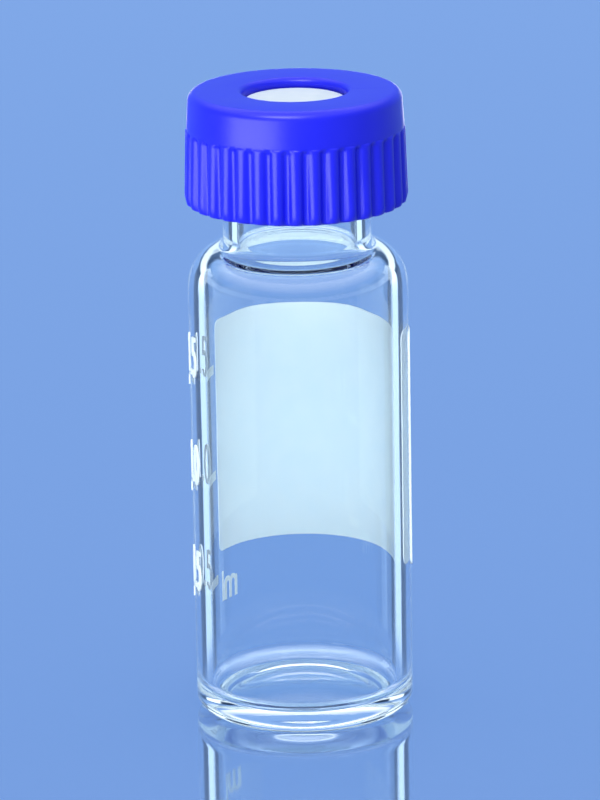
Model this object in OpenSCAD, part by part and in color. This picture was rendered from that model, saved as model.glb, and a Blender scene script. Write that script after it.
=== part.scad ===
// Glass sample vial with a ribbed open-top screw cap over a pierceable septum.
// Millimetres, +Z up, origin at the centre of the foot. The back of the vial, where it is written on, faces +Y.

/* [Glass body] */
// Outer diameter of the glass tube
vial_d = 11.6; // [10.6:0.1:13]
// Height of the glass, from the foot to the lip
vial_h = 32; // [28:0.5:42]
// Wall of the glass tube
wall_t = 0.8; // [0.65:0.05:1]
// Thickness of the floor
floor_t = 1; // [0.8:0.05:1.4]
// Outer radius of the heel
heel_r = 0.8; // [0.6:0.1:1.2]
// Inner radius of the heel
inner_heel_r = 0.9; // [0.6:0.1:1.4]
// Width of the flat ring that the vial stands on
foot_w = 1.2; // [0.8:0.1:1.8]
// Height of the dimple pressed up into the base
dimple_h = 0.4; // [0.2:0.05:0.6]

/* [Shoulder and neck] */
// How far the neck is set in from the glass body
neck_inset = 1.9; // [1.6:0.05:2.2]
// Straight height of the neck, from the shoulder to the lip
neck_h = 6.2; // [5.8:0.1:7]
// Outer radius of the shoulder
shoulder_r = 2.1; // [1.8:0.1:2.6]
// Radius of the hollow between shoulder and neck
neck_fillet_r = 0.4; // [0.3:0.1:0.7]
// Rounding of the lip
lip_r = 0.25; // [0.15:0.05:0.3]

/* [Thread and septum] */
// Height of the screw thread that the neck and the cap leave room for
thread_h = 0.6; // [0.4:0.05:0.8]
// Radial room between the crest of the neck's thread and the bore of the cap
thread_gap = 0.1; // [0.05:0.05:0.2]
// Thickness of the septum
septum_t = 1.1; // [0.8:0.1:1.5]
// Radial room between the septum and the bore of the cap
septum_gap = 0.1; // [0.05:0.05:0.2]

/* [Cap] */
// Height of the cap
cap_h = 6; // [5.4:0.1:6.6]
// Thickness of the cap's top
cap_top_t = 0.6; // [0.5:0.05:1]
// Wall of the skirt, from the bore to the bottom of the ribs
skirt_t = 0.95; // [0.8:0.05:1.3]
// Diameter of the hole over the septum
hole_d = 5.5; // [4.5:0.1:6]
// Rounding of the hole's upper edge
hole_edge_r = 0.3; // [0.1:0.05:0.4]
// Rounding of the cap's upper edge
cap_edge_r = 0.5; // [0.3:0.05:0.7]
// Chamfer that leads the neck into the cap
lead_in = 0.3; // [0.15:0.05:0.45]

/* [Ribs] */
// Number of ribs round the skirt
rib_n = 36; // [24:1:40]
// Height of a rib at the foot of the skirt
rib_h = 0.33; // [0.2:0.01:0.4]
// Width of a rib
rib_w = 0.68; // [0.5:0.02:0.76]
// How much lower the ribs are at their upper end, so that the cap leaves its mould
rib_draft = 0.13; // [0:0.01:0.15]
// Height of the plain band above the ribs
band_h = 1.9; // [1.5:0.1:2.5]
// How far the foot of the plain band stands out from the bottom of the ribs
band_step = 0.15; // [0.1:0.01:0.19]
// How much narrower the plain band is at its upper end, so that the cap leaves its mould
band_draft = 0.08; // [0:0.01:0.1]
// Height over which the ribs and the grooves run out into the band
rib_runout = 0.35; // [0.2:0.05:0.6]
// Rounding of the lower edge of the ribs
rim_r = 0.4; // [0.2:0.05:0.5]

/* [Print on the glass] */
// Thickness of the fired print
print_t = 0.05; // [0.04:0.01:0.1]
// Room between the print and the glass
print_gap = 0.01; // [0.01:0.005:0.02]
// Height of the writing patch's lower edge
patch_z = 7.75; // [5:0.25:9]
// Glass left plain between the patch and the shoulder
patch_top_gap = 2.7; // [1.5:0.1:4]
// Width of the patch, round the glass
patch_w = 16.4; // [10:0.1:17]
// Direction that the middle of the patch faces, in degrees from +X
patch_angle = 74; // [45:1:135]
// Number of volume marks
mark_n = 3; // [2:1:5]
// Height of a mark's line
mark_h = 0.5; // [0.2:0.05:0.6]
// How far the top mark stays below the patch's upper edge
mark_drop = 2.8; // [2:0.1:4]
// How far the lowest mark lies below the patch's lower edge
mark_low = 1.65; // [0:0.05:2]
// Glass left plain between the patch and the marks
mark_gap = 0.4; // [0.2:0.1:1]
// Length of a mark's line, round the glass
mark_w = 2.2; // [1:0.1:3]

/* [Hidden] */
$fn = 96;
arc_steps = 10;

vial_r = vial_d / 2;
bore_r = vial_r - wall_t;
neck_r = vial_r - neck_inset;

// The shoulder is an arc that meets the hollow below the neck with no corner.
shoulder_x = vial_r - shoulder_r;
fillet_x = neck_r + neck_fillet_r;
shoulder_run = fillet_x - shoulder_x;
shoulder_rise = sqrt(pow(shoulder_r + neck_fillet_r, 2) - pow(shoulder_run, 2));
shoulder_angle = atan2(shoulder_rise, shoulder_run);
neck_z = vial_h - neck_h;
shoulder_z = neck_z - shoulder_rise;

// The foot ring lies between the heel and the dimple.
foot_out_r = vial_r - heel_r;
foot_in_r = foot_out_r - foot_w;

// The septum lies on the lip, and the cap's top lies on the septum.
cap_bore_r = neck_r + thread_h + thread_gap;
septum_r = cap_bore_r - septum_gap;
seat_z = vial_h + septum_t;
cap_top_z = seat_z + cap_top_t;
cap_foot_z = cap_top_z - cap_h;

// The ribs stand on a ring that overlaps the skirt's core and reaches up into the band.
rib_root_r = cap_bore_r + skirt_t;
rib_crest_r = rib_root_r + rib_h;
band_r = rib_root_r + band_step;
band_top_r = band_r - band_draft;
band_z = cap_top_z - band_h;
ring_overlap = skirt_t / 4;
skirt_core_r = rib_root_r - ring_overlap;
ring_in_r = skirt_core_r - ring_overlap;
rib_top_z = band_z + rib_runout / 2;

// The band's underside is a cone, on which the grooves between the ribs run out.
groove_slope = rib_runout / band_step;
cone_foot_z = band_z - groove_slope * (band_r - skirt_core_r);

// The print follows the straight wall of the glass.
print_r = vial_r + print_gap;
degrees_per_mm = 360 / (PI * vial_d);
patch_sweep = patch_w * degrees_per_mm;
patch_start = patch_angle - patch_sweep / 2;
patch_h = shoulder_z - patch_top_gap - patch_z;
mark_z = patch_z - mark_low;
mark_step = (patch_h + mark_low - mark_drop) / (mark_n - 1);
mark_sweep = mark_w * degrees_per_mm;
mark_start = patch_start + patch_sweep + mark_gap * degrees_per_mm;

// Points along an arc about c, from angle a to angle b.
function arc(c, r, a, b) =
    [for (i = [0 : arc_steps]) c + r * [cos(a + (b - a) * i / arc_steps), sin(a + (b - a) * i / arc_steps)]];

// Points of a shallow dome that is h high on the axis, over a base of radius r at height z.
function dome(r, h, z) =
    let (ball_r = (r * r + h * h) / (2 * h))
    arc([0, z + h - ball_r], ball_r, 90, acos(r / ball_r));

// Points of an arc or outline, last point first.
function reversed(points) = [for (i = [len(points) - 1 : -1 : 0]) points[i]];

// Shoulder from the straight wall up to the neck, a wall's depth inside the outer surface.
function shoulder(depth) =
    concat(
        arc([shoulder_x, shoulder_z], shoulder_r - depth, 0, shoulder_angle),
        arc([fillet_x, neck_z], neck_fillet_r + depth, 180 + shoulder_angle, 180)
    );

// One piece of drawn tube: dimpled base, rounded heel, shoulder, neck and lip.
module glass_vial() {
    outside = concat(
        dome(foot_in_r, dimple_h, 0),
        arc([foot_out_r, heel_r], heel_r, -90, 0),
        shoulder(0),
        arc([neck_r - lip_r, vial_h - lip_r], lip_r, 0, 90)
    );
    inside = concat(
        dome(bore_r - inner_heel_r, dimple_h, floor_t),
        arc([bore_r - inner_heel_r, floor_t + inner_heel_r], inner_heel_r, -90, 0),
        shoulder(wall_t),
        arc([neck_r - wall_t + lip_r, vial_h - lip_r], lip_r, 180, 90)
    );
    color([0.86, 0.94, 0.98, 0.4])
        rotate_extrude()
            polygon(concat(outside, reversed(inside)));
}

// Top, plain band and core of the skirt, turned as one section.
module cap_shell() {
    rotate_extrude()
        polygon(concat(
            [
                [cap_bore_r + lead_in, cap_foot_z],
                [skirt_core_r, cap_foot_z],
                [skirt_core_r, cone_foot_z],
                [band_r, band_z],
            ],
            arc([band_top_r - cap_edge_r, cap_top_z - cap_edge_r], cap_edge_r, 0, 90),
            arc([hole_d / 2 + hole_edge_r, cap_top_z - hole_edge_r], hole_edge_r, 90, 180),
            [
                [hole_d / 2, seat_z],
                [cap_bore_r, seat_z],
                [cap_bore_r, cap_foot_z + lead_in],
            ]
        ));
}

// Round-backed ribs, with a drafted crest that runs out below the band and a rounded lower edge.
module cap_ribs() {
    intersection() {
        translate([0, 0, cap_foot_z])
            linear_extrude(rib_top_z - cap_foot_z)
                difference() {
                    union() {
                        circle(rib_root_r);
                        for (i = [0 : rib_n - 1])
                            rotate(i * 360 / rib_n)
                                translate([rib_crest_r - rib_w / 2, 0])
                                    circle(rib_w / 2, $fn = 32);
                    }
                    circle(ring_in_r);
                }
        rotate_extrude()
            polygon(concat(
                [[0, cap_foot_z]],
                arc([rib_crest_r - rim_r, cap_foot_z + rim_r], rim_r, -90, 0),
                [
                    [rib_crest_r - rib_draft, band_z - rib_runout],
                    [rib_root_r, rib_top_z],
                    [0, rib_top_z],
                ]
            ));
    }
}

// Moulded open-top screw cap.
module screw_cap() {
    color([0.2, 0.2, 0.85]) {
        cap_shell();
        cap_ribs();
    }
}

// Die-cut disc that closes the mouth and is pierced through the cap's hole.
module septum() {
    color([0.93, 0.94, 0.93])
        translate([0, 0, vial_h])
            cylinder(r = septum_r, h = septum_t);
}

// Band of fired print on the outside of the straight wall.
module print_band(z, h, start, sweep) {
    rotate_extrude(angle = sweep, start = start)
        translate([print_r, z])
            square([print_t, h]);
}

// White patch to write on.
module writing_patch() {
    color([0.95, 0.97, 0.98])
        print_band(patch_z, patch_h, patch_start, patch_sweep);
}

// Lines that mark the volume, beside the patch.
module graduation_marks() {
    color([0.95, 0.97, 0.98])
        for (i = [0 : mark_n - 1])
            print_band(mark_z + i * mark_step, mark_h, mark_start, mark_sweep);
}

glass_vial();
screw_cap();
septum();
writing_patch();
graduation_marks();
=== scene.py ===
"""Looks of a small glass sample vial with a ribbed screw cap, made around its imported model.

Lengths are metres in the model's own frame: +Z up the axis, the foot on z = 0, the writing patch towards +Y.
"""
import math

import bpy
import numpy as np
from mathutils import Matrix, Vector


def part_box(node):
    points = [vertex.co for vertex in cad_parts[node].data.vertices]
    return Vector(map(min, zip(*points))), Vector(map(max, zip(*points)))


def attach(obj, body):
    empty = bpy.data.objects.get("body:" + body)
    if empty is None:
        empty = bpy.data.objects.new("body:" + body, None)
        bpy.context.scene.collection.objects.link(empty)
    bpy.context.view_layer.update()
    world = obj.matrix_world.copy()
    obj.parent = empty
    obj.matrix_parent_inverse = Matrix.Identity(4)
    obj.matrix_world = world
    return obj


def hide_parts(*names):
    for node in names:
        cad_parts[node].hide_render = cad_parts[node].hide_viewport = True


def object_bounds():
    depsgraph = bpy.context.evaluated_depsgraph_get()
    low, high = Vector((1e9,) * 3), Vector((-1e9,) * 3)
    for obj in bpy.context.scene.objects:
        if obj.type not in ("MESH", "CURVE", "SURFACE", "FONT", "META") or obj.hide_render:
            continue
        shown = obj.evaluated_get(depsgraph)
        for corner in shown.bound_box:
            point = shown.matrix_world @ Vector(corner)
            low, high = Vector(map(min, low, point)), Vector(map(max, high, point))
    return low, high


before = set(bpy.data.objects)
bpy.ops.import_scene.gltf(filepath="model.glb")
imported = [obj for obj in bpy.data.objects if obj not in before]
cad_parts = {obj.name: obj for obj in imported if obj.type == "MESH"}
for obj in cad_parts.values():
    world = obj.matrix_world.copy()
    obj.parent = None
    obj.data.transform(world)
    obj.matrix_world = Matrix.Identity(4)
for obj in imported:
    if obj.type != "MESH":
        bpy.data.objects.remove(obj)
cad_low, cad_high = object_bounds()

MM = 0.001
TAU = 2 * math.pi

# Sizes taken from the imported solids
VIAL_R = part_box("glass_vial")[1][0]
LIP_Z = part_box("glass_vial")[1][2]
SEPTUM_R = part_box("septum")[1][0]
SEAT_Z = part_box("septum")[1][2]
CAP_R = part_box("screw_cap")[1][0]
CAP_FOOT_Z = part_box("screw_cap")[0][2]
CAP_TOP_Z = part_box("screw_cap")[1][2]
PATCH_LOW_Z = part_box("writing_patch")[0][2]
PATCH_HIGH_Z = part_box("writing_patch")[1][2]
MARK_LOW_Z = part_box("graduation_marks")[0][2]
MARK_HIGH_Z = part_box("graduation_marks")[1][2]

# Glass tube
WALL = 0.8 * MM
FLOOR = 1.0 * MM
HEEL_R = 0.8 * MM
INNER_HEEL_R = 0.9 * MM
FOOT_W = 1.2 * MM
DIMPLE = 0.4 * MM
NECK_R = VIAL_R - 1.9 * MM
NECK_Z = LIP_Z - 6.2 * MM
SHOULDER_R = 2.1 * MM
SHOULDER_EASE = 1.4 * MM
FILLET_R = 0.4 * MM
LIP_R = 0.25 * MM

# Screw thread, one on the neck and one in the cap, half a pitch apart
PITCH = 1.5 * MM
THREAD_TURNS = 1.6
THREAD_FADE = 0.5
THREAD_BACK = 1.2
NECK_THREAD_Z = LIP_Z - 3.6 * MM
NECK_THREAD_H = 0.52 * MM
NECK_THREAD_W = 0.46 * MM
CAP_THREAD_Z = NECK_THREAD_Z - PITCH / 2
CAP_THREAD_H = 0.45 * MM
CAP_THREAD_W = 0.4 * MM

# Cap
CAP_BORE_R = SEPTUM_R + 0.1 * MM
HOLE_R = 2.75 * MM
HOLE_EDGE_R = 0.3 * MM
CAP_EDGE_R = 0.5 * MM
LEAD_IN = 0.3 * MM
RIBS = 36
RIB_H = 0.33 * MM
RIB_HALF_W = 0.38 * MM
RIB_DRAFT = 0.13 * MM
RIB_RUNOUT = 0.35 * MM
RIB_BACK = 0.62
RIM_R = 0.4 * MM
RIM_SHARE = 0.8
VALLEY_RIM_R = 0.15 * MM
BAND_STEP = 0.15 * MM
BAND_DRAFT = 0.08 * MM
BAND_Z = CAP_TOP_Z - 1.9 * MM
RIB_ROOT_R = CAP_R - RIB_H
BAND_R = RIB_ROOT_R + BAND_STEP

# Septum, pressed up a little through the cap's hole
SEPTUM_EDGE_R = 0.12 * MM
SEPTUM_BULGE = 0.2 * MM
BULGE_R = HOLE_R - 0.06 * MM

# Print on the glass
PRINT_IN_R = VIAL_R - 0.01 * MM
PRINT_OUT_R = VIAL_R + 0.06 * MM
PATCH_W = 16.4 * MM
PATCH_ANGLE = math.radians(74)
PATCH_CORNER_R = 0.45 * MM
MARK_W = 2.2 * MM
MARK_LINE = 0.5 * MM
MARK_GAP = 0.4 * MM
NUMBER_GAP = 0.2 * MM
NUMBER_LIFT = 0.4 * MM
NUMBER_H = 2.0 * MM
NUMBER_W = 0.6 * MM
NUMBER_LINE = 0.24 * MM
NUMBER_STEP = 0.22 * MM
UNIT_LETTERS = (("m", 1.15 * MM), ("l", 0.4 * MM))
UNIT_H = 1.6 * MM
UNIT_DROP = 1.2 * MM
UNIT_BACK = 2.3 * MM
INK_STEP = 0.12 * MM

# Columns of points round each turned piece, and in the cap for each rib
GLASS_COLUMNS = 192
SEPTUM_COLUMNS = 128
RIB_COLUMNS = 14

# Photograph's camera: its station, viewing angle and lean, with the vial filling more of the frame
CAMERA_DISTANCE = 276.4 * MM
CAMERA_ELEVATION = math.radians(15.9)
CAMERA_ROLL = math.radians(-1.0)
FRAME_SHARE = 0.84
SENSOR = 36.0

# Light strips that only clear glass shows, each with a dark flank on either side: azimuth from +X, lowest and
# highest elevation, all in degrees. They draw bright and dark lines along the edges of the glass.
STRIPS = ((45, 0, 20.5), (135, 0, 20.5), (225, 0, 9))
STRIP_HALF = 7.5
STRIP_BRIGHTNESS = 1.9
FLANK_HALF = 22.0
STRIP_BLUR = 2.0
STRIP_COLOUR = "#E2F3FB"
FLANK_COLOUR = "#0E2440"

# Light ring low round the vial, which shows only where light turned once inside the glass, as it does in the
# shoulder: elevation and half height in degrees, with a dark flank above and below.
RING_ELEVATION = 9.0
RING_HALF = 4.0
RING_BRIGHTNESS = 1.6
RING_FLANK_HALF = 11.0
RING_BLUR = 3.0

# Room: its colour to the eye and in glass, and the light that it gives to surfaces
ROOM_COLOUR = "#8AB4F1"
ROOM_LIGHT_COLOUR = "#E6EEFA"
ROOM_LIGHT = 0.58

# White light overhead, by elevation in degrees
OVERHEAD_FROM = 28.0
OVERHEAD_TO = 52.0
OVERHEAD_BRIGHTNESS = 2.2

FLOOR_GAP = 0.02 * MM


def smooth(x):
    """Eases from 0 to 1 with no corner at either end."""
    x = np.clip(x, 0, 1)
    return x * x * (3 - 2 * x)


def arc(centre, radius, start, end, steps):
    """Points (r, z) of a circle about centre, from the start angle to the end angle in degrees."""
    angle = np.radians(np.linspace(start, end, steps))
    return np.column_stack((centre[0] + radius * np.cos(angle), centre[1] + radius * np.sin(angle)))


def dome(radius, height, z, steps):
    """Points (r, z) of a shallow ball cap that is height high on the axis, from the axis out to radius."""
    ball = (radius**2 + height**2) / (2 * height)
    rim = math.degrees(math.acos(radius / ball))
    return arc((0, z + height - ball), ball, 90, rim, steps)


def new_piece(name, points, quads, triangles=None, sharp_angle=None):
    """A smooth mesh object from arrays of corner points and of point numbers."""
    triangles = np.zeros((0, 3), int) if triangles is None else triangles
    corners = np.concatenate((quads.ravel(), triangles.ravel()))
    sizes = np.concatenate((np.full(len(quads), 4), np.full(len(triangles), 3)))
    mesh = bpy.data.meshes.new(name)
    mesh.vertices.add(len(points))
    mesh.loops.add(len(corners))
    mesh.polygons.add(len(sizes))
    mesh.vertices.foreach_set("co", points.astype(np.float32).ravel())
    mesh.loops.foreach_set("vertex_index", corners.astype(np.int32))
    mesh.polygons.foreach_set("loop_start", (np.cumsum(sizes) - sizes).astype(np.int32))
    mesh.update(calc_edges=True)
    mesh.shade_smooth()
    if sharp_angle is not None:
        mesh.set_sharp_from_angle(angle=math.radians(sharp_angle))
    piece = bpy.data.objects.new(name, mesh)
    bpy.context.scene.collection.objects.link(piece)
    return piece


def strip_quads(first, second):
    """Quads between two rows of point numbers, each row closed on itself."""
    return np.stack((first, np.roll(first, -1), np.roll(second, -1), second), axis=-1).reshape(-1, 4)


def turned(name, section, columns, swell=0.0, ring=False):
    """Surface turned about the axis: radius = section radius + swell(row, column), height = section height.

    The section runs up the outside and down the inside. A ring's section closes on itself. Any other starts
    and ends on the axis, and those two points become poles.
    """
    rows = section if ring else section[1:-1]
    turn = np.arange(columns) * (TAU / columns)
    radius = rows[:, :1] + swell
    radius = np.broadcast_to(radius, (len(rows), columns))
    height = np.broadcast_to(rows[:, 1:], radius.shape)
    points = np.stack((radius * np.cos(turn), radius * np.sin(turn), height), axis=-1).reshape(-1, 3)
    number = np.arange(len(points)).reshape(radius.shape)
    if ring:
        return new_piece(name, points, strip_quads(number, np.roll(number, -1, axis=0)))
    poles = np.array([(0, 0, section[0, 1]), (0, 0, section[-1, 1])])
    low, high = len(points), len(points) + 1
    first, last = number[0], number[-1]
    low_fan = np.column_stack((np.full(columns, low), np.roll(first, -1), first))
    high_fan = np.column_stack((last, np.roll(last, -1), np.full(columns, high)))
    quads = np.concatenate([strip_quads(a, b) for a, b in zip(number[:-1], number[1:])])
    return new_piece(name, np.concatenate((points, poles)), quads, np.concatenate((low_fan, high_fan)))


def thread_ridge(turn, height, start_z, half_width, ridge_height):
    """Ridge of a right-hand screw: at each angle and height, the nearest turn of the helix
    z = start + pitch * angle / full turn gives a rounded ridge that fades in and out at its two ends."""
    lap = np.round((height - start_z) / PITCH - turn / TAU)
    along = turn / TAU + lap
    across = (height - start_z - PITCH * along) / half_width
    ends = smooth(along / THREAD_FADE) * smooth((THREAD_TURNS - along) / THREAD_FADE)
    return ridge_height * ends * np.clip(1 - across**2, 0, 1) ** THREAD_BACK


def shoulder(depth, steps):
    """Points (r, z) from the straight wall up to the neck, at a depth inside the outer surface: an arc round
    the shoulder, then the hollow arc that meets it with no corner. Drawn glass leaves its straight wall
    slowly, so the first arc's bend grows evenly over a length before it is the arc's own, as in a railway
    curve."""
    centre_r = VIAL_R - SHOULDER_R
    hollow_r = NECK_R + FILLET_R
    rise = math.sqrt((SHOULDER_R + FILLET_R) ** 2 - (hollow_r - centre_r) ** 2)
    angle = math.atan2(rise, hollow_r - centre_r)
    low = np.array((VIAL_R, NECK_Z - rise - SHOULDER_EASE / 2))
    high = np.array((centre_r + SHOULDER_R * math.cos(angle), NECK_Z - rise + SHOULDER_R * math.sin(angle)))
    run = np.linspace(0, SHOULDER_R * angle + SHOULDER_EASE / 2, 600)
    tilt = np.where(run < SHOULDER_EASE, run**2 / (2 * SHOULDER_EASE), run - SHOULDER_EASE / 2) / SHOULDER_R
    way = np.cumsum(np.column_stack((-np.sin(tilt), np.cos(tilt))), axis=0)
    over = low + (way - way[0]) / (way[-1] - way[0]) * (high - low)
    over = over - depth * np.column_stack((np.cos(tilt), np.sin(tilt)))
    kept = np.linspace(0, len(run) - 1, steps + 8).astype(int)
    hollow = arc((hollow_r, NECK_Z), FILLET_R + depth, 180 + math.degrees(angle), 180, steps)
    return np.concatenate((over[kept], hollow[1:]))


def make_glass():
    """Tube of glass turned from one section, with a screw ridge swelling out of the neck."""
    bore = VIAL_R - WALL
    foot_out = VIAL_R - HEEL_R
    mouth = NECK_R - WALL
    neck = np.linspace((NECK_R, NECK_Z), (NECK_R, LIP_Z - LIP_R), 92)
    section = np.concatenate((
        dome(foot_out - FOOT_W, DIMPLE, 0, 10),
        arc((foot_out, HEEL_R), HEEL_R, -90, 0, 18),
        shoulder(0, 22),
        neck[1:-1],
        arc((NECK_R - LIP_R, LIP_Z - LIP_R), LIP_R, 0, 90, 8),
        arc((mouth + LIP_R, LIP_Z - LIP_R), LIP_R, 90, 180, 8),
        shoulder(WALL, 22)[::-1],
        arc((bore - INNER_HEEL_R, FLOOR + INNER_HEEL_R), INNER_HEEL_R, 0, -90, 14),
        dome(bore - INNER_HEEL_R, DIMPLE, FLOOR, 10)[::-1][1:],
    ))
    turn = np.arange(GLASS_COLUMNS) * (TAU / GLASS_COLUMNS)
    rows = section[1:-1]
    on_neck = (rows[:, :1] > NECK_R - MM * 0.01) & (rows[:, 1:] > NECK_Z)
    ridge = thread_ridge(turn, rows[:, 1:], NECK_THREAD_Z, NECK_THREAD_W, NECK_THREAD_H)
    return turned("glass_tube", section, GLASS_COLUMNS, swell=np.where(on_neck, ridge, 0))


def make_cap():
    """Ring turned from one section. Its outside swells into round-backed ribs, whose height tapers up the
    skirt and rounds off at the foot. Under the plain band the grooves rise to it while the ribs sink into it.
    Its bore swells in to a screw ridge."""
    side = np.concatenate((
        CAP_FOOT_Z + VALLEY_RIM_R * (1 - np.cos(np.radians(np.linspace(0, 90, 7)))),
        np.linspace(CAP_FOOT_Z + VALLEY_RIM_R, BAND_Z - RIB_RUNOUT, 14)[1:-1],
        np.linspace(BAND_Z - RIB_RUNOUT, BAND_Z + RIB_RUNOUT / 2, 18),
    ))
    foot_drop = np.clip(1 - (side - CAP_FOOT_Z) / VALLEY_RIM_R, 0, 1)
    valley = RIB_ROOT_R - VALLEY_RIM_R * (1 - np.sqrt(1 - foot_drop**2))
    groove_rise = BAND_STEP * smooth((side - BAND_Z) / RIB_RUNOUT + 1)
    valley = valley + groove_rise
    outside = np.column_stack((valley, side))
    bore = np.linspace((CAP_BORE_R, SEAT_Z), (CAP_BORE_R, CAP_FOOT_Z + LEAD_IN), 74)
    section = np.concatenate((
        outside,
        arc((BAND_R - BAND_DRAFT - CAP_EDGE_R, CAP_TOP_Z - CAP_EDGE_R), CAP_EDGE_R, 0, 90, 10),
        arc((HOLE_R + HOLE_EDGE_R, CAP_TOP_Z - HOLE_EDGE_R), HOLE_EDGE_R, 90, 180, 8),
        np.linspace((HOLE_R, SEAT_Z), (CAP_BORE_R, SEAT_Z), 3)[:-1],
        bore,
        np.linspace((CAP_BORE_R + LEAD_IN, CAP_FOOT_Z), (RIB_ROOT_R - VALLEY_RIM_R, CAP_FOOT_Z), 3)[:-1],
    ))
    columns = RIBS * RIB_COLUMNS
    turn = np.arange(columns) * (TAU / columns)
    radius, height = section[:, :1], section[:, 1:]
    rib_angle = (turn + math.pi / RIBS) % (TAU / RIBS) - math.pi / RIBS
    across = np.clip(1 - (rib_angle * CAP_R / RIB_HALF_W) ** 2, 0, 1) ** RIB_BACK
    up = (height - CAP_FOOT_Z) / (BAND_Z - CAP_FOOT_Z)
    rim = np.clip(1 - (height - CAP_FOOT_Z) / RIM_R, 0, 1)
    crest = RIB_H - RIB_DRAFT * up - RIM_R * (1 - np.sqrt(1 - rim**2)) * RIM_SHARE
    crest = crest * smooth((BAND_Z + RIB_RUNOUT / 2 - height) / RIB_RUNOUT)
    crest[: len(outside), 0] -= groove_rise
    row = np.arange(len(section))[:, None]
    ribs = np.where(row < len(outside), np.clip(crest, 0, None) * across, 0)
    in_bore = (np.abs(radius - CAP_BORE_R) < 1e-7) & (row > len(outside))
    ridge = thread_ridge(turn, height, CAP_THREAD_Z, CAP_THREAD_W, CAP_THREAD_H)
    return turned("ribbed_cap", section, columns, swell=ribs - np.where(in_bore, ridge, 0), ring=True)


def make_septum():
    """Disc turned from one section, with its top pressed up through the cap's hole: at radius r it rises by
    bulge * square root of (1 - (r / bulge radius)^6)."""
    flat_r = SEPTUM_R - SEPTUM_EDGE_R
    domed_r = BULGE_R * np.sin(np.linspace(1, 0, 26) * math.pi / 2)
    radius = np.concatenate((np.linspace(flat_r, BULGE_R, 6), domed_r[1:]))
    bulge = SEPTUM_BULGE * np.sqrt(np.clip(1 - (radius / BULGE_R) ** 6, 0, 1))
    section = np.concatenate((
        [(0, LIP_Z)],
        np.linspace((MM, LIP_Z), (flat_r, LIP_Z), 5),
        arc((flat_r, LIP_Z + SEPTUM_EDGE_R), SEPTUM_EDGE_R, -90, 0, 6)[1:],
        arc((flat_r, SEAT_Z - SEPTUM_EDGE_R), SEPTUM_EDGE_R, 0, 90, 6)[:-1],
        np.column_stack((radius, SEAT_Z + bulge)),
    ))
    return turned("septum_disc", section, SEPTUM_COLUMNS)


def wrap(across, up, radius):
    """Points of the glass cylinder: across runs round it from +X, up runs along it."""
    angle = across / VIAL_R
    return np.stack((radius * np.cos(angle), radius * np.sin(angle), up + 0 * angle), axis=-1)


def make_patch():
    """Sheet of print bent round the glass: its half width at each height follows a rounded corner."""
    rows, columns = 33, 97
    height = PATCH_HIGH_Z - PATCH_LOW_Z
    up = height * (0.5 - 0.5 * np.cos(np.linspace(0, math.pi, rows)))
    inset = np.clip(PATCH_CORNER_R - np.minimum(up, height - up), 0, PATCH_CORNER_R)
    half = PATCH_W / 2 - PATCH_CORNER_R + np.sqrt(PATCH_CORNER_R**2 - inset**2)
    across = PATCH_ANGLE * VIAL_R + half[:, None] * np.linspace(-1, 1, columns)
    up = np.broadcast_to(PATCH_LOW_Z + up[:, None], across.shape)
    outer, inner = (wrap(across, up, r).reshape(-1, 3) for r in (PRINT_OUT_R, PRINT_IN_R))
    front = np.arange(rows * columns).reshape(rows, columns)
    back = front + rows * columns
    edge = np.concatenate((front[0, :-1], front[:-1, -1], front[-1, :0:-1], front[:0:-1, 0]))
    quads = np.concatenate((
        np.stack((front[:-1, :-1], front[:-1, 1:], front[1:, 1:], front[1:, :-1]), axis=-1).reshape(-1, 4),
        np.stack((back[:-1, :-1], back[1:, :-1], back[1:, 1:], back[:-1, 1:]), axis=-1).reshape(-1, 4),
        strip_quads(edge + rows * columns, edge),
    ))
    return new_piece("patch_print", np.concatenate((outer, inner)), quads, sharp_angle=40)


def stroke_sign(sign):
    """Centre lines of a plain digit or letter, in a box one wide and one high: straight runs and arcs of an
    ellipse."""
    round_o = arc((0.5, 0.5), 0.5, 90, 450, 29)
    bowl = arc((0.42, 0.31), 0.31, 128, -148, 19) * (1.35, 1) - (0.15, 0)
    drawn = {
        "0": [round_o * (0.9, 1) + (0.05, 0)],
        "1": [np.array([(0.22, 0.78), (0.58, 1.0), (0.58, 0.0)])],
        "5": [np.concatenate(([(0.9, 1.0), (0.2, 1.0), (0.14, 0.52)], bowl))],
        ".": [np.array([(0.5, -0.02), (0.5, 0.13)])],
        "m": [
            np.array([(0.0, 0.0), (0.0, 0.72)]),
            np.concatenate((arc((0.25, 0.47), 0.25, 180, 0, 11), [(0.5, 0.0)])),
            np.concatenate((arc((0.75, 0.47), 0.25, 180, 0, 11), [(1.0, 0.0)])),
        ],
        "l": [np.array([(0.3, 0.0), (0.3, 1.05)])],
    }
    return drawn[sign]


def filled_in(path, spacing):
    """A path with points added, so that none of its steps is longer than spacing."""
    steps = np.maximum(1, np.ceil(np.hypot(*np.diff(path, axis=0).T) / spacing).astype(int))
    runs = [np.linspace(a, b, n, endpoint=False) for a, b, n in zip(path[:-1], path[1:], steps)]
    return np.concatenate((*runs, path[-1:]))


def ribbon(path, width):
    """Corner points and quads of a printed line: a flat bar carried along the path on the glass."""
    ahead = np.gradient(path, axis=0)
    ahead = ahead / np.hypot(ahead[:, :1], ahead[:, 1:])
    side = np.column_stack((-ahead[:, 1], ahead[:, 0])) * width / 2
    left, right = path + side, path - side
    corners = np.stack((
        wrap(left[:, 0], left[:, 1], PRINT_IN_R),
        wrap(left[:, 0], left[:, 1], PRINT_OUT_R),
        wrap(right[:, 0], right[:, 1], PRINT_OUT_R),
        wrap(right[:, 0], right[:, 1], PRINT_IN_R),
    ), axis=1)
    number = np.arange(len(path) * 4).reshape(-1, 4)
    sides = [strip_quads(a, b) for a, b in zip(number[:-1], number[1:])]
    ends = np.array([number[0, ::-1], number[-1]])
    return corners.reshape(-1, 3), np.concatenate((*sides, ends))


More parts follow.
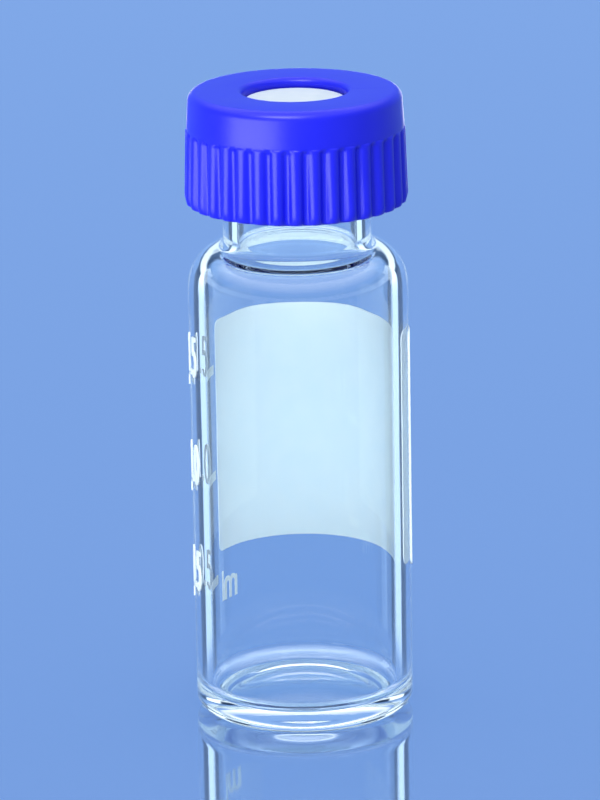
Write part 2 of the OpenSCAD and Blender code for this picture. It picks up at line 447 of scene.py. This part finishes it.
def make_scale():
    """Volume marks beside the patch: a line and a plain number for each, and the unit below them."""
    start = PATCH_ANGLE * VIAL_R + PATCH_W / 2 + MARK_GAP
    number_start = start + MARK_W + NUMBER_GAP
    lines = []
    heights = np.linspace(MARK_LOW_Z, MARK_HIGH_Z - MARK_LINE, 3) + MARK_LINE / 2
    for z, number in zip(heights, ("0.5", "1.0", "1.5")):
        lines.append((np.array([(start, z), (start + MARK_W, z)]), MARK_LINE))
        across = number_start
        for digit in number:
            wide = NUMBER_STEP if digit == "." else NUMBER_W
            low = np.array((across, z + MARK_LINE / 2 + NUMBER_LIFT))
            for path in stroke_sign(digit):
                lines.append((low + path * (wide, NUMBER_H), NUMBER_LINE))
            across += wide + NUMBER_STEP
    across = start - UNIT_BACK
    for letter, wide in UNIT_LETTERS:
        low = np.array((across, MARK_LOW_Z - UNIT_DROP))
        for path in stroke_sign(letter):
            lines.append((low + path * (wide, UNIT_H), NUMBER_LINE))
        across += wide + NUMBER_STEP
    made = [ribbon(filled_in(path, INK_STEP), width) for path, width in lines]
    first = np.cumsum([0] + [len(points) for points, _ in made])
    points = np.concatenate([points for points, _ in made])
    quads = np.concatenate([quads + n for (_, quads), n in zip(made, first)])
    return new_piece("scale_print", points, quads, sharp_angle=40)


def linear(colour):
    """Linear RGBA of an sRGB hex colour."""
    srgb = np.array([int(colour[i : i + 2], 16) for i in (1, 3, 5)]) / 255
    value = np.where(srgb <= 0.04045, srgb / 12.92, ((srgb + 0.055) / 1.055) ** 2.4)
    return (*value.tolist(), 1.0)


def node(tree, kind, inputs=None, **settings):
    """Adds a node with its settings. Each input is a value, or the socket that feeds it."""
    made = tree.nodes.new(kind)
    for name, value in settings.items():
        setattr(made, name, value)
    for name, value in (inputs or {}).items():
        if isinstance(value, bpy.types.NodeSocket):
            tree.links.new(value, made.inputs[name])
        else:
            made.inputs[name].default_value = value
    return made


def start_material(name):
    """A new material with an empty tree, and the tree's Object coordinates."""
    material = bpy.data.materials.new(name)
    material.use_nodes = True
    material.node_tree.nodes.clear()
    return material, material.node_tree, node(material.node_tree, "ShaderNodeTexCoord").outputs["Object"]


def borosilicate_glass():
    """Borosilicate glass, drawn as tube: clear and colourless, with faint streaks along the draw.
    Lamps shine through it, a little weakened, on to the print and the floor."""
    material, tree, coords = start_material("borosilicate_drawn")
    streak_size = (1 / (0.5 * MM), 1 / (0.5 * MM), 1 / (9 * MM))
    streak = node(tree, "ShaderNodeMapping", {"Vector": coords, "Scale": streak_size})
    wave = node(tree, "ShaderNodeTexNoise", {"Vector": streak.outputs[0], "Scale": 1.0, "Detail": 2.0})
    relief = {"Height": wave.outputs["Fac"], "Strength": 0.6, "Distance": 0.002 * MM}
    bump = node(tree, "ShaderNodeBump", relief)
    glass = node(tree, "ShaderNodeBsdfPrincipled", {
        "Base Color": linear("#FAFDFE"),
        "Roughness": 0.0,
        "IOR": 1.48,
        "Transmission Weight": 1.0,
        "Normal": bump.outputs[0],
    })
    clear = node(tree, "ShaderNodeBsdfTransparent", {"Color": linear("#FAFDFE")})
    path = node(tree, "ShaderNodeLightPath")
    parts = {0: path.outputs["Is Shadow Ray"], 1: glass.outputs[0], 2: clear.outputs[0]}
    mixed = node(tree, "ShaderNodeMixShader", parts)
    node(tree, "ShaderNodeOutputMaterial", {"Surface": mixed.outputs[0]})
    return material


def moulded_polypropylene():
    """Polypropylene, dyed royal blue and injection moulded: satin gloss, with a faint flow mottle and tool
    grain."""
    material, tree, coords = start_material("polypropylene_moulded")
    flow = node(tree, "ShaderNodeTexNoise", {"Vector": coords, "Scale": 1 / (2.2 * MM), "Detail": 3.0})
    shade = node(tree, "ShaderNodeMix", {
        0: flow.outputs["Fac"],
        6: linear("#171BE2"),
        7: linear("#1F24EC"),
    }, data_type="RGBA")
    # The mould's real grain is about 0.03 mm, and is drawn coarser so that it shows
    grain = node(tree, "ShaderNodeTexNoise", {"Vector": coords, "Scale": 1 / (0.12 * MM), "Detail": 2.0})
    gloss = node(tree, "ShaderNodeMapRange", {"Value": flow.outputs["Fac"], "To Min": 0.3, "To Max": 0.38})
    relief = {"Height": grain.outputs["Fac"], "Strength": 0.35, "Distance": 0.004 * MM}
    bump = node(tree, "ShaderNodeBump", relief)
    plastic = node(tree, "ShaderNodeBsdfPrincipled", {
        "Base Color": shade.outputs[2],
        "Roughness": gloss.outputs[0],
        "IOR": 1.49,
        "Specular IOR Level": 0.4,
        "Normal": bump.outputs[0],
    })
    node(tree, "ShaderNodeOutputMaterial", {"Surface": plastic.outputs[0]})
    return material


def silicone_rubber():
    """Silicone rubber, calendered and die-cut: milky and soft, with a fine powdery grain."""
    material, tree, coords = start_material("silicone_die_cut")
    cloud = node(tree, "ShaderNodeTexNoise", {"Vector": coords, "Scale": 1 / (0.7 * MM), "Detail": 3.0})
    shade = node(tree, "ShaderNodeMix", {
        0: cloud.outputs["Fac"],
        6: linear("#DAE7EF"),
        7: linear("#EBF3F7"),
    }, data_type="RGBA")
    # The powder's real grain is about 0.02 mm, and is drawn coarser so that it shows
    grain = node(tree, "ShaderNodeTexNoise", {"Vector": coords, "Scale": 1 / (0.09 * MM), "Detail": 2.0})
    relief = {"Height": grain.outputs["Fac"], "Strength": 0.5, "Distance": 0.006 * MM}
    bump = node(tree, "ShaderNodeBump", relief)
    rubber = node(tree, "ShaderNodeBsdfPrincipled", {
        "Base Color": shade.outputs[2],
        "Roughness": 0.55,
        "IOR": 1.41,
        "Normal": bump.outputs[0],
    })
    node(tree, "ShaderNodeOutputMaterial", {"Surface": rubber.outputs[0]})
    return material


def fired_enamel():
    """White glass enamel, screen printed and fired: chalky, a little uneven in thickness, and rough enough
    to write on."""
    material, tree, coords = start_material("enamel_fired")
    cloud = node(tree, "ShaderNodeTexNoise", {"Vector": coords, "Scale": 1 / (1.1 * MM), "Detail": 4.0})
    shade = node(tree, "ShaderNodeMix", {
        0: cloud.outputs["Fac"],
        6: linear("#DDEFF8"),
        7: linear("#EAF6FB"),
    }, data_type="RGBA")
    # The enamel's real grain is about 0.02 mm, and is drawn coarser so that it shows
    grain = node(tree, "ShaderNodeTexNoise", {"Vector": coords, "Scale": 1 / (0.1 * MM), "Detail": 2.0})
    relief = {"Height": grain.outputs["Fac"], "Strength": 0.5, "Distance": 0.008 * MM}
    bump = node(tree, "ShaderNodeBump", relief)
    enamel = node(tree, "ShaderNodeBsdfPrincipled", {
        "Base Color": shade.outputs[2],
        "Roughness": 0.7,
        "IOR": 1.5,
        "Normal": bump.outputs[0],
    })
    node(tree, "ShaderNodeOutputMaterial", {"Surface": enamel.outputs[0]})
    return material


def floor_material():
    """Pale blue acrylic sheet: plain, with the soft mirror image that polished acrylic gives."""
    material, tree, _ = start_material("floor_acrylic")
    sheet = node(tree, "ShaderNodeBsdfPrincipled", {
        "Base Color": linear("#BCD4F2"),
        "Metallic": 0.7,
        "Roughness": 0.05,
    })
    node(tree, "ShaderNodeOutputMaterial", {"Surface": sheet.outputs[0]})
    return material


def make_stage():
    """A wide flat floor just under the foot of the vial."""
    reach = 4.0
    corners = np.array([(-reach, -reach, 0), (reach, -reach, 0), (reach, reach, 0), (-reach, reach, 0)])
    floor = new_piece("floor", corners - (0, 0, FLOOR_GAP), np.array([[0, 1, 2, 3]]))
    floor.data.materials.append(floor_material())


def make_world():
    """Plain light from all round, neutral where it lights a surface. To the eye, in mirror images and through
    glass it is pale blue, and white overhead. Light that has come through glass also shows the strips, and
    light that turned once inside the glass shows the ring."""
    world = bpy.data.worlds.new("studio")
    bpy.context.scene.world = world
    world.use_nodes = True
    tree = world.node_tree
    tree.nodes.clear()
    way = node(tree, "ShaderNodeTexCoord").outputs["Generated"]
    height = node(tree, "ShaderNodeSeparateXYZ", {0: way}).outputs["Z"]
    elevation = node(tree, "ShaderNodeMath", {0: height}, operation="ARCSINE").outputs[0]
    level = node(tree, "ShaderNodeVectorMath", {0: way, 1: (1, 1, 0)}, operation="MULTIPLY")
    level = node(tree, "ShaderNodeVectorMath", {0: level.outputs[0]}, operation="NORMALIZE")
    nearness = 0.0
    for azimuth, low, high in np.radians(STRIPS):
        strip = (math.cos(azimuth), math.sin(azimuth), 0)
        facing = node(tree, "ShaderNodeVectorMath", {0: level.outputs[0], 1: strip}, operation="DOT_PRODUCT")
        span = {0: elevation, 1: (low + high) / 2, 2: (high - low) / 2}
        in_span = node(tree, "ShaderNodeMath", span, operation="COMPARE")
        here = {0: facing.outputs["Value"], 1: in_span.outputs[0]}
        here = node(tree, "ShaderNodeMath", here, operation="MULTIPLY")
        nearest = {0: nearness, 1: here.outputs[0]}
        nearness = node(tree, "ShaderNodeMath", nearest, operation="MAXIMUM").outputs[0]
    away = node(tree, "ShaderNodeMath", {0: nearness}, operation="ARCCOSINE").outputs[0]
    path = node(tree, "ShaderNodeLightPath")
    # Strips: light that went into glass and out again, and was mirrored twice at most
    entered = {0: path.outputs["Transmission Depth"], 1: 1.5}
    entered = node(tree, "ShaderNodeMath", entered, operation="GREATER_THAN")
    straight = {0: path.outputs["Glossy Depth"], 1: 2.5}
    straight = node(tree, "ShaderNodeMath", straight, operation="LESS_THAN")
    through = {0: entered.outputs[0], 1: straight.outputs[0]}
    through = node(tree, "ShaderNodeMath", through, operation="MULTIPLY").outputs[0]
    # Ring: light that went once into glass and out again, and was mirrored once in between
    turned_once = {0: path.outputs["Glossy Depth"], 1: 1.0, 2: 0.5}
    turned_once = node(tree, "ShaderNodeMath", turned_once, operation="COMPARE")
    in_and_out = {0: path.outputs["Transmission Depth"], 1: 2.0, 2: 0.5}
    in_and_out = node(tree, "ShaderNodeMath", in_and_out, operation="COMPARE")
    inside = {0: in_and_out.outputs[0], 1: turned_once.outputs[0]}
    inside = node(tree, "ShaderNodeMath", inside, operation="MULTIPLY").outputs[0]
    off_ring = {0: elevation, 1: math.radians(RING_ELEVATION)}
    off_ring = node(tree, "ShaderNodeMath", off_ring, operation="SUBTRACT")
    off_ring = node(tree, "ShaderNodeMath", {0: off_ring.outputs[0]}, operation="ABSOLUTE").outputs[0]
    shown = node(tree, "ShaderNodeBackground", {"Color": linear(ROOM_COLOUR), "Strength": 1.0}).outputs[0]
    layers = (
        ("#FFFFFF", OVERHEAD_BRIGHTNESS, elevation, OVERHEAD_FROM, OVERHEAD_TO, 1.0),
        (FLANK_COLOUR, 1.0, away, FLANK_HALF + STRIP_BLUR, FLANK_HALF, through),
        (FLANK_COLOUR, 1.0, off_ring, RING_FLANK_HALF + RING_BLUR, RING_FLANK_HALF, inside),
        (STRIP_COLOUR, STRIP_BRIGHTNESS, away, STRIP_HALF + STRIP_BLUR, STRIP_HALF, through),
        (STRIP_COLOUR, RING_BRIGHTNESS, off_ring, RING_HALF + RING_BLUR, RING_HALF, inside),
    )
    for colour, strength, angle, none_at, all_at, share in layers:
        ends = {"Value": angle, "From Min": math.radians(none_at), "From Max": math.radians(all_at)}
        part = node(tree, "ShaderNodeMapRange", ends).outputs[0]
        part = node(tree, "ShaderNodeMath", {0: part, 1: share}, operation="MULTIPLY").outputs[0]
        glow = node(tree, "ShaderNodeBackground", {"Color": linear(colour), "Strength": strength}).outputs[0]
        shown = node(tree, "ShaderNodeMixShader", {0: part, 1: shown, 2: glow}).outputs[0]
    light = {"Color": linear(ROOM_LIGHT_COLOUR), "Strength": ROOM_LIGHT}
    light = node(tree, "ShaderNodeBackground", light).outputs[0]
    lights = {0: path.outputs["Diffuse Depth"], 1: 0.5}
    lights = node(tree, "ShaderNodeMath", lights, operation="GREATER_THAN")
    shown = node(tree, "ShaderNodeMixShader", {0: lights.outputs[0], 1: shown, 2: light}).outputs[0]
    node(tree, "ShaderNodeOutputWorld", {"Surface": shown})


def add_softbox(lit, name, azimuth, elevation, distance, size, brightness):
    """A soft lamp that faces the vial and lights the pieces of one collection, so that it leaves no mirror
    image on the glass. Azimuth from +X and elevation are in degrees, size is width and height, and the lamp's
    face has the given brightness, where 1 is white."""
    lamp = bpy.data.lights.new(name, "AREA")
    lamp.shape = "RECTANGLE"
    lamp.size, lamp.size_y = size
    lamp.energy = math.pi * size[0] * size[1] * brightness
    box = bpy.data.objects.new(name, lamp)
    a, e = math.radians(azimuth), math.radians(elevation)
    box.location = (
        distance * math.cos(a) * math.cos(e),
        distance * math.sin(a) * math.cos(e),
        distance * math.sin(e) + LIP_Z / 2,
    )
    box.rotation_euler = (math.pi / 2 - e, 0, a + math.pi / 2)
    box.visible_camera = False
    box.light_linking.receiver_collection = lit
    bpy.context.scene.collection.objects.link(box)


def make_camera():
    """The photograph's station: straight in front, looking a little down, aimed at the vial's middle."""
    camera = bpy.data.cameras.new("camera")
    height = cad_high[2] - cad_low[2]
    width = cad_high[0] - cad_low[0]
    seen = height * math.cos(CAMERA_ELEVATION) + width * math.sin(CAMERA_ELEVATION)
    camera.sensor_width = SENSOR
    camera.lens = SENSOR * FRAME_SHARE * CAMERA_DISTANCE / seen
    camera.clip_start = 0.01
    camera.clip_end = 50
    stand = bpy.data.objects.new("camera", camera)
    stand.location = (
        0,
        -CAMERA_DISTANCE * math.cos(CAMERA_ELEVATION),
        height / 2 + CAMERA_DISTANCE * math.sin(CAMERA_ELEVATION),
    )
    stand.rotation_mode = "ZXY"
    stand.rotation_euler = (math.pi / 2 - CAMERA_ELEVATION, 0, CAMERA_ROLL)
    bpy.context.scene.collection.objects.link(stand)
    bpy.context.scene.camera = stand


def add_piece(piece, material, body, cad_node, lit=None):
    """Gives a piece its finish, puts it on its body in place of the CAD node, and adds it to what its lamps
    light."""
    piece.data.materials.append(material)
    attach(piece, body)
    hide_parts(cad_node)
    if lit:
        lit.objects.link(piece)


make_camera()
make_world()
make_stage()
prints = bpy.data.collections.new("prints")
closure = bpy.data.collections.new("closure")
opaque = bpy.data.collections.new("opaque")
opaque.children.link(prints)
opaque.children.link(closure)
add_softbox(closure, "key", azimuth=-134, elevation=2, distance=0.08, size=(0.08, 0.04), brightness=5.2)
add_softbox(closure, "edge", azimuth=-108, elevation=50, distance=0.7, size=(0.35, 0.15), brightness=18.0)
add_softbox(prints, "front", azimuth=-95, elevation=12, distance=0.7, size=(0.6, 0.4), brightness=5.0)
add_softbox(prints, "left", azimuth=-145, elevation=12, distance=0.7, size=(0.6, 0.4), brightness=4.8)
add_softbox(prints, "right", azimuth=-45, elevation=12, distance=0.7, size=(0.6, 0.4), brightness=5.0)
add_softbox(opaque, "back", azimuth=88, elevation=0, distance=0.1, size=(0.06, 0.03), brightness=4.6)

enamel = fired_enamel()
add_piece(make_glass(), borosilicate_glass(), "vial", "glass_vial")
add_piece(make_patch(), enamel, "vial", "writing_patch", prints)
add_piece(make_scale(), enamel, "vial", "graduation_marks", prints)
add_piece(make_septum(), silicone_rubber(), "septum", "septum", closure)
add_piece(make_cap(), moulded_polypropylene(), "cap", "screw_cap", closure)

scene = bpy.context.scene
scene.view_settings.view_transform = "Standard"
# All lamps are tried alike and nothing is clamped, so that print seen through glass is lit evenly
scene.cycles.use_light_tree = False
scene.cycles.sample_clamp_indirect = 0
# Light runs a long way inside the glass of the heel and the lip before it comes out
scene.cycles.max_bounces = 40
scene.cycles.glossy_bounces = 40
scene.cycles.transmission_bounces = 40
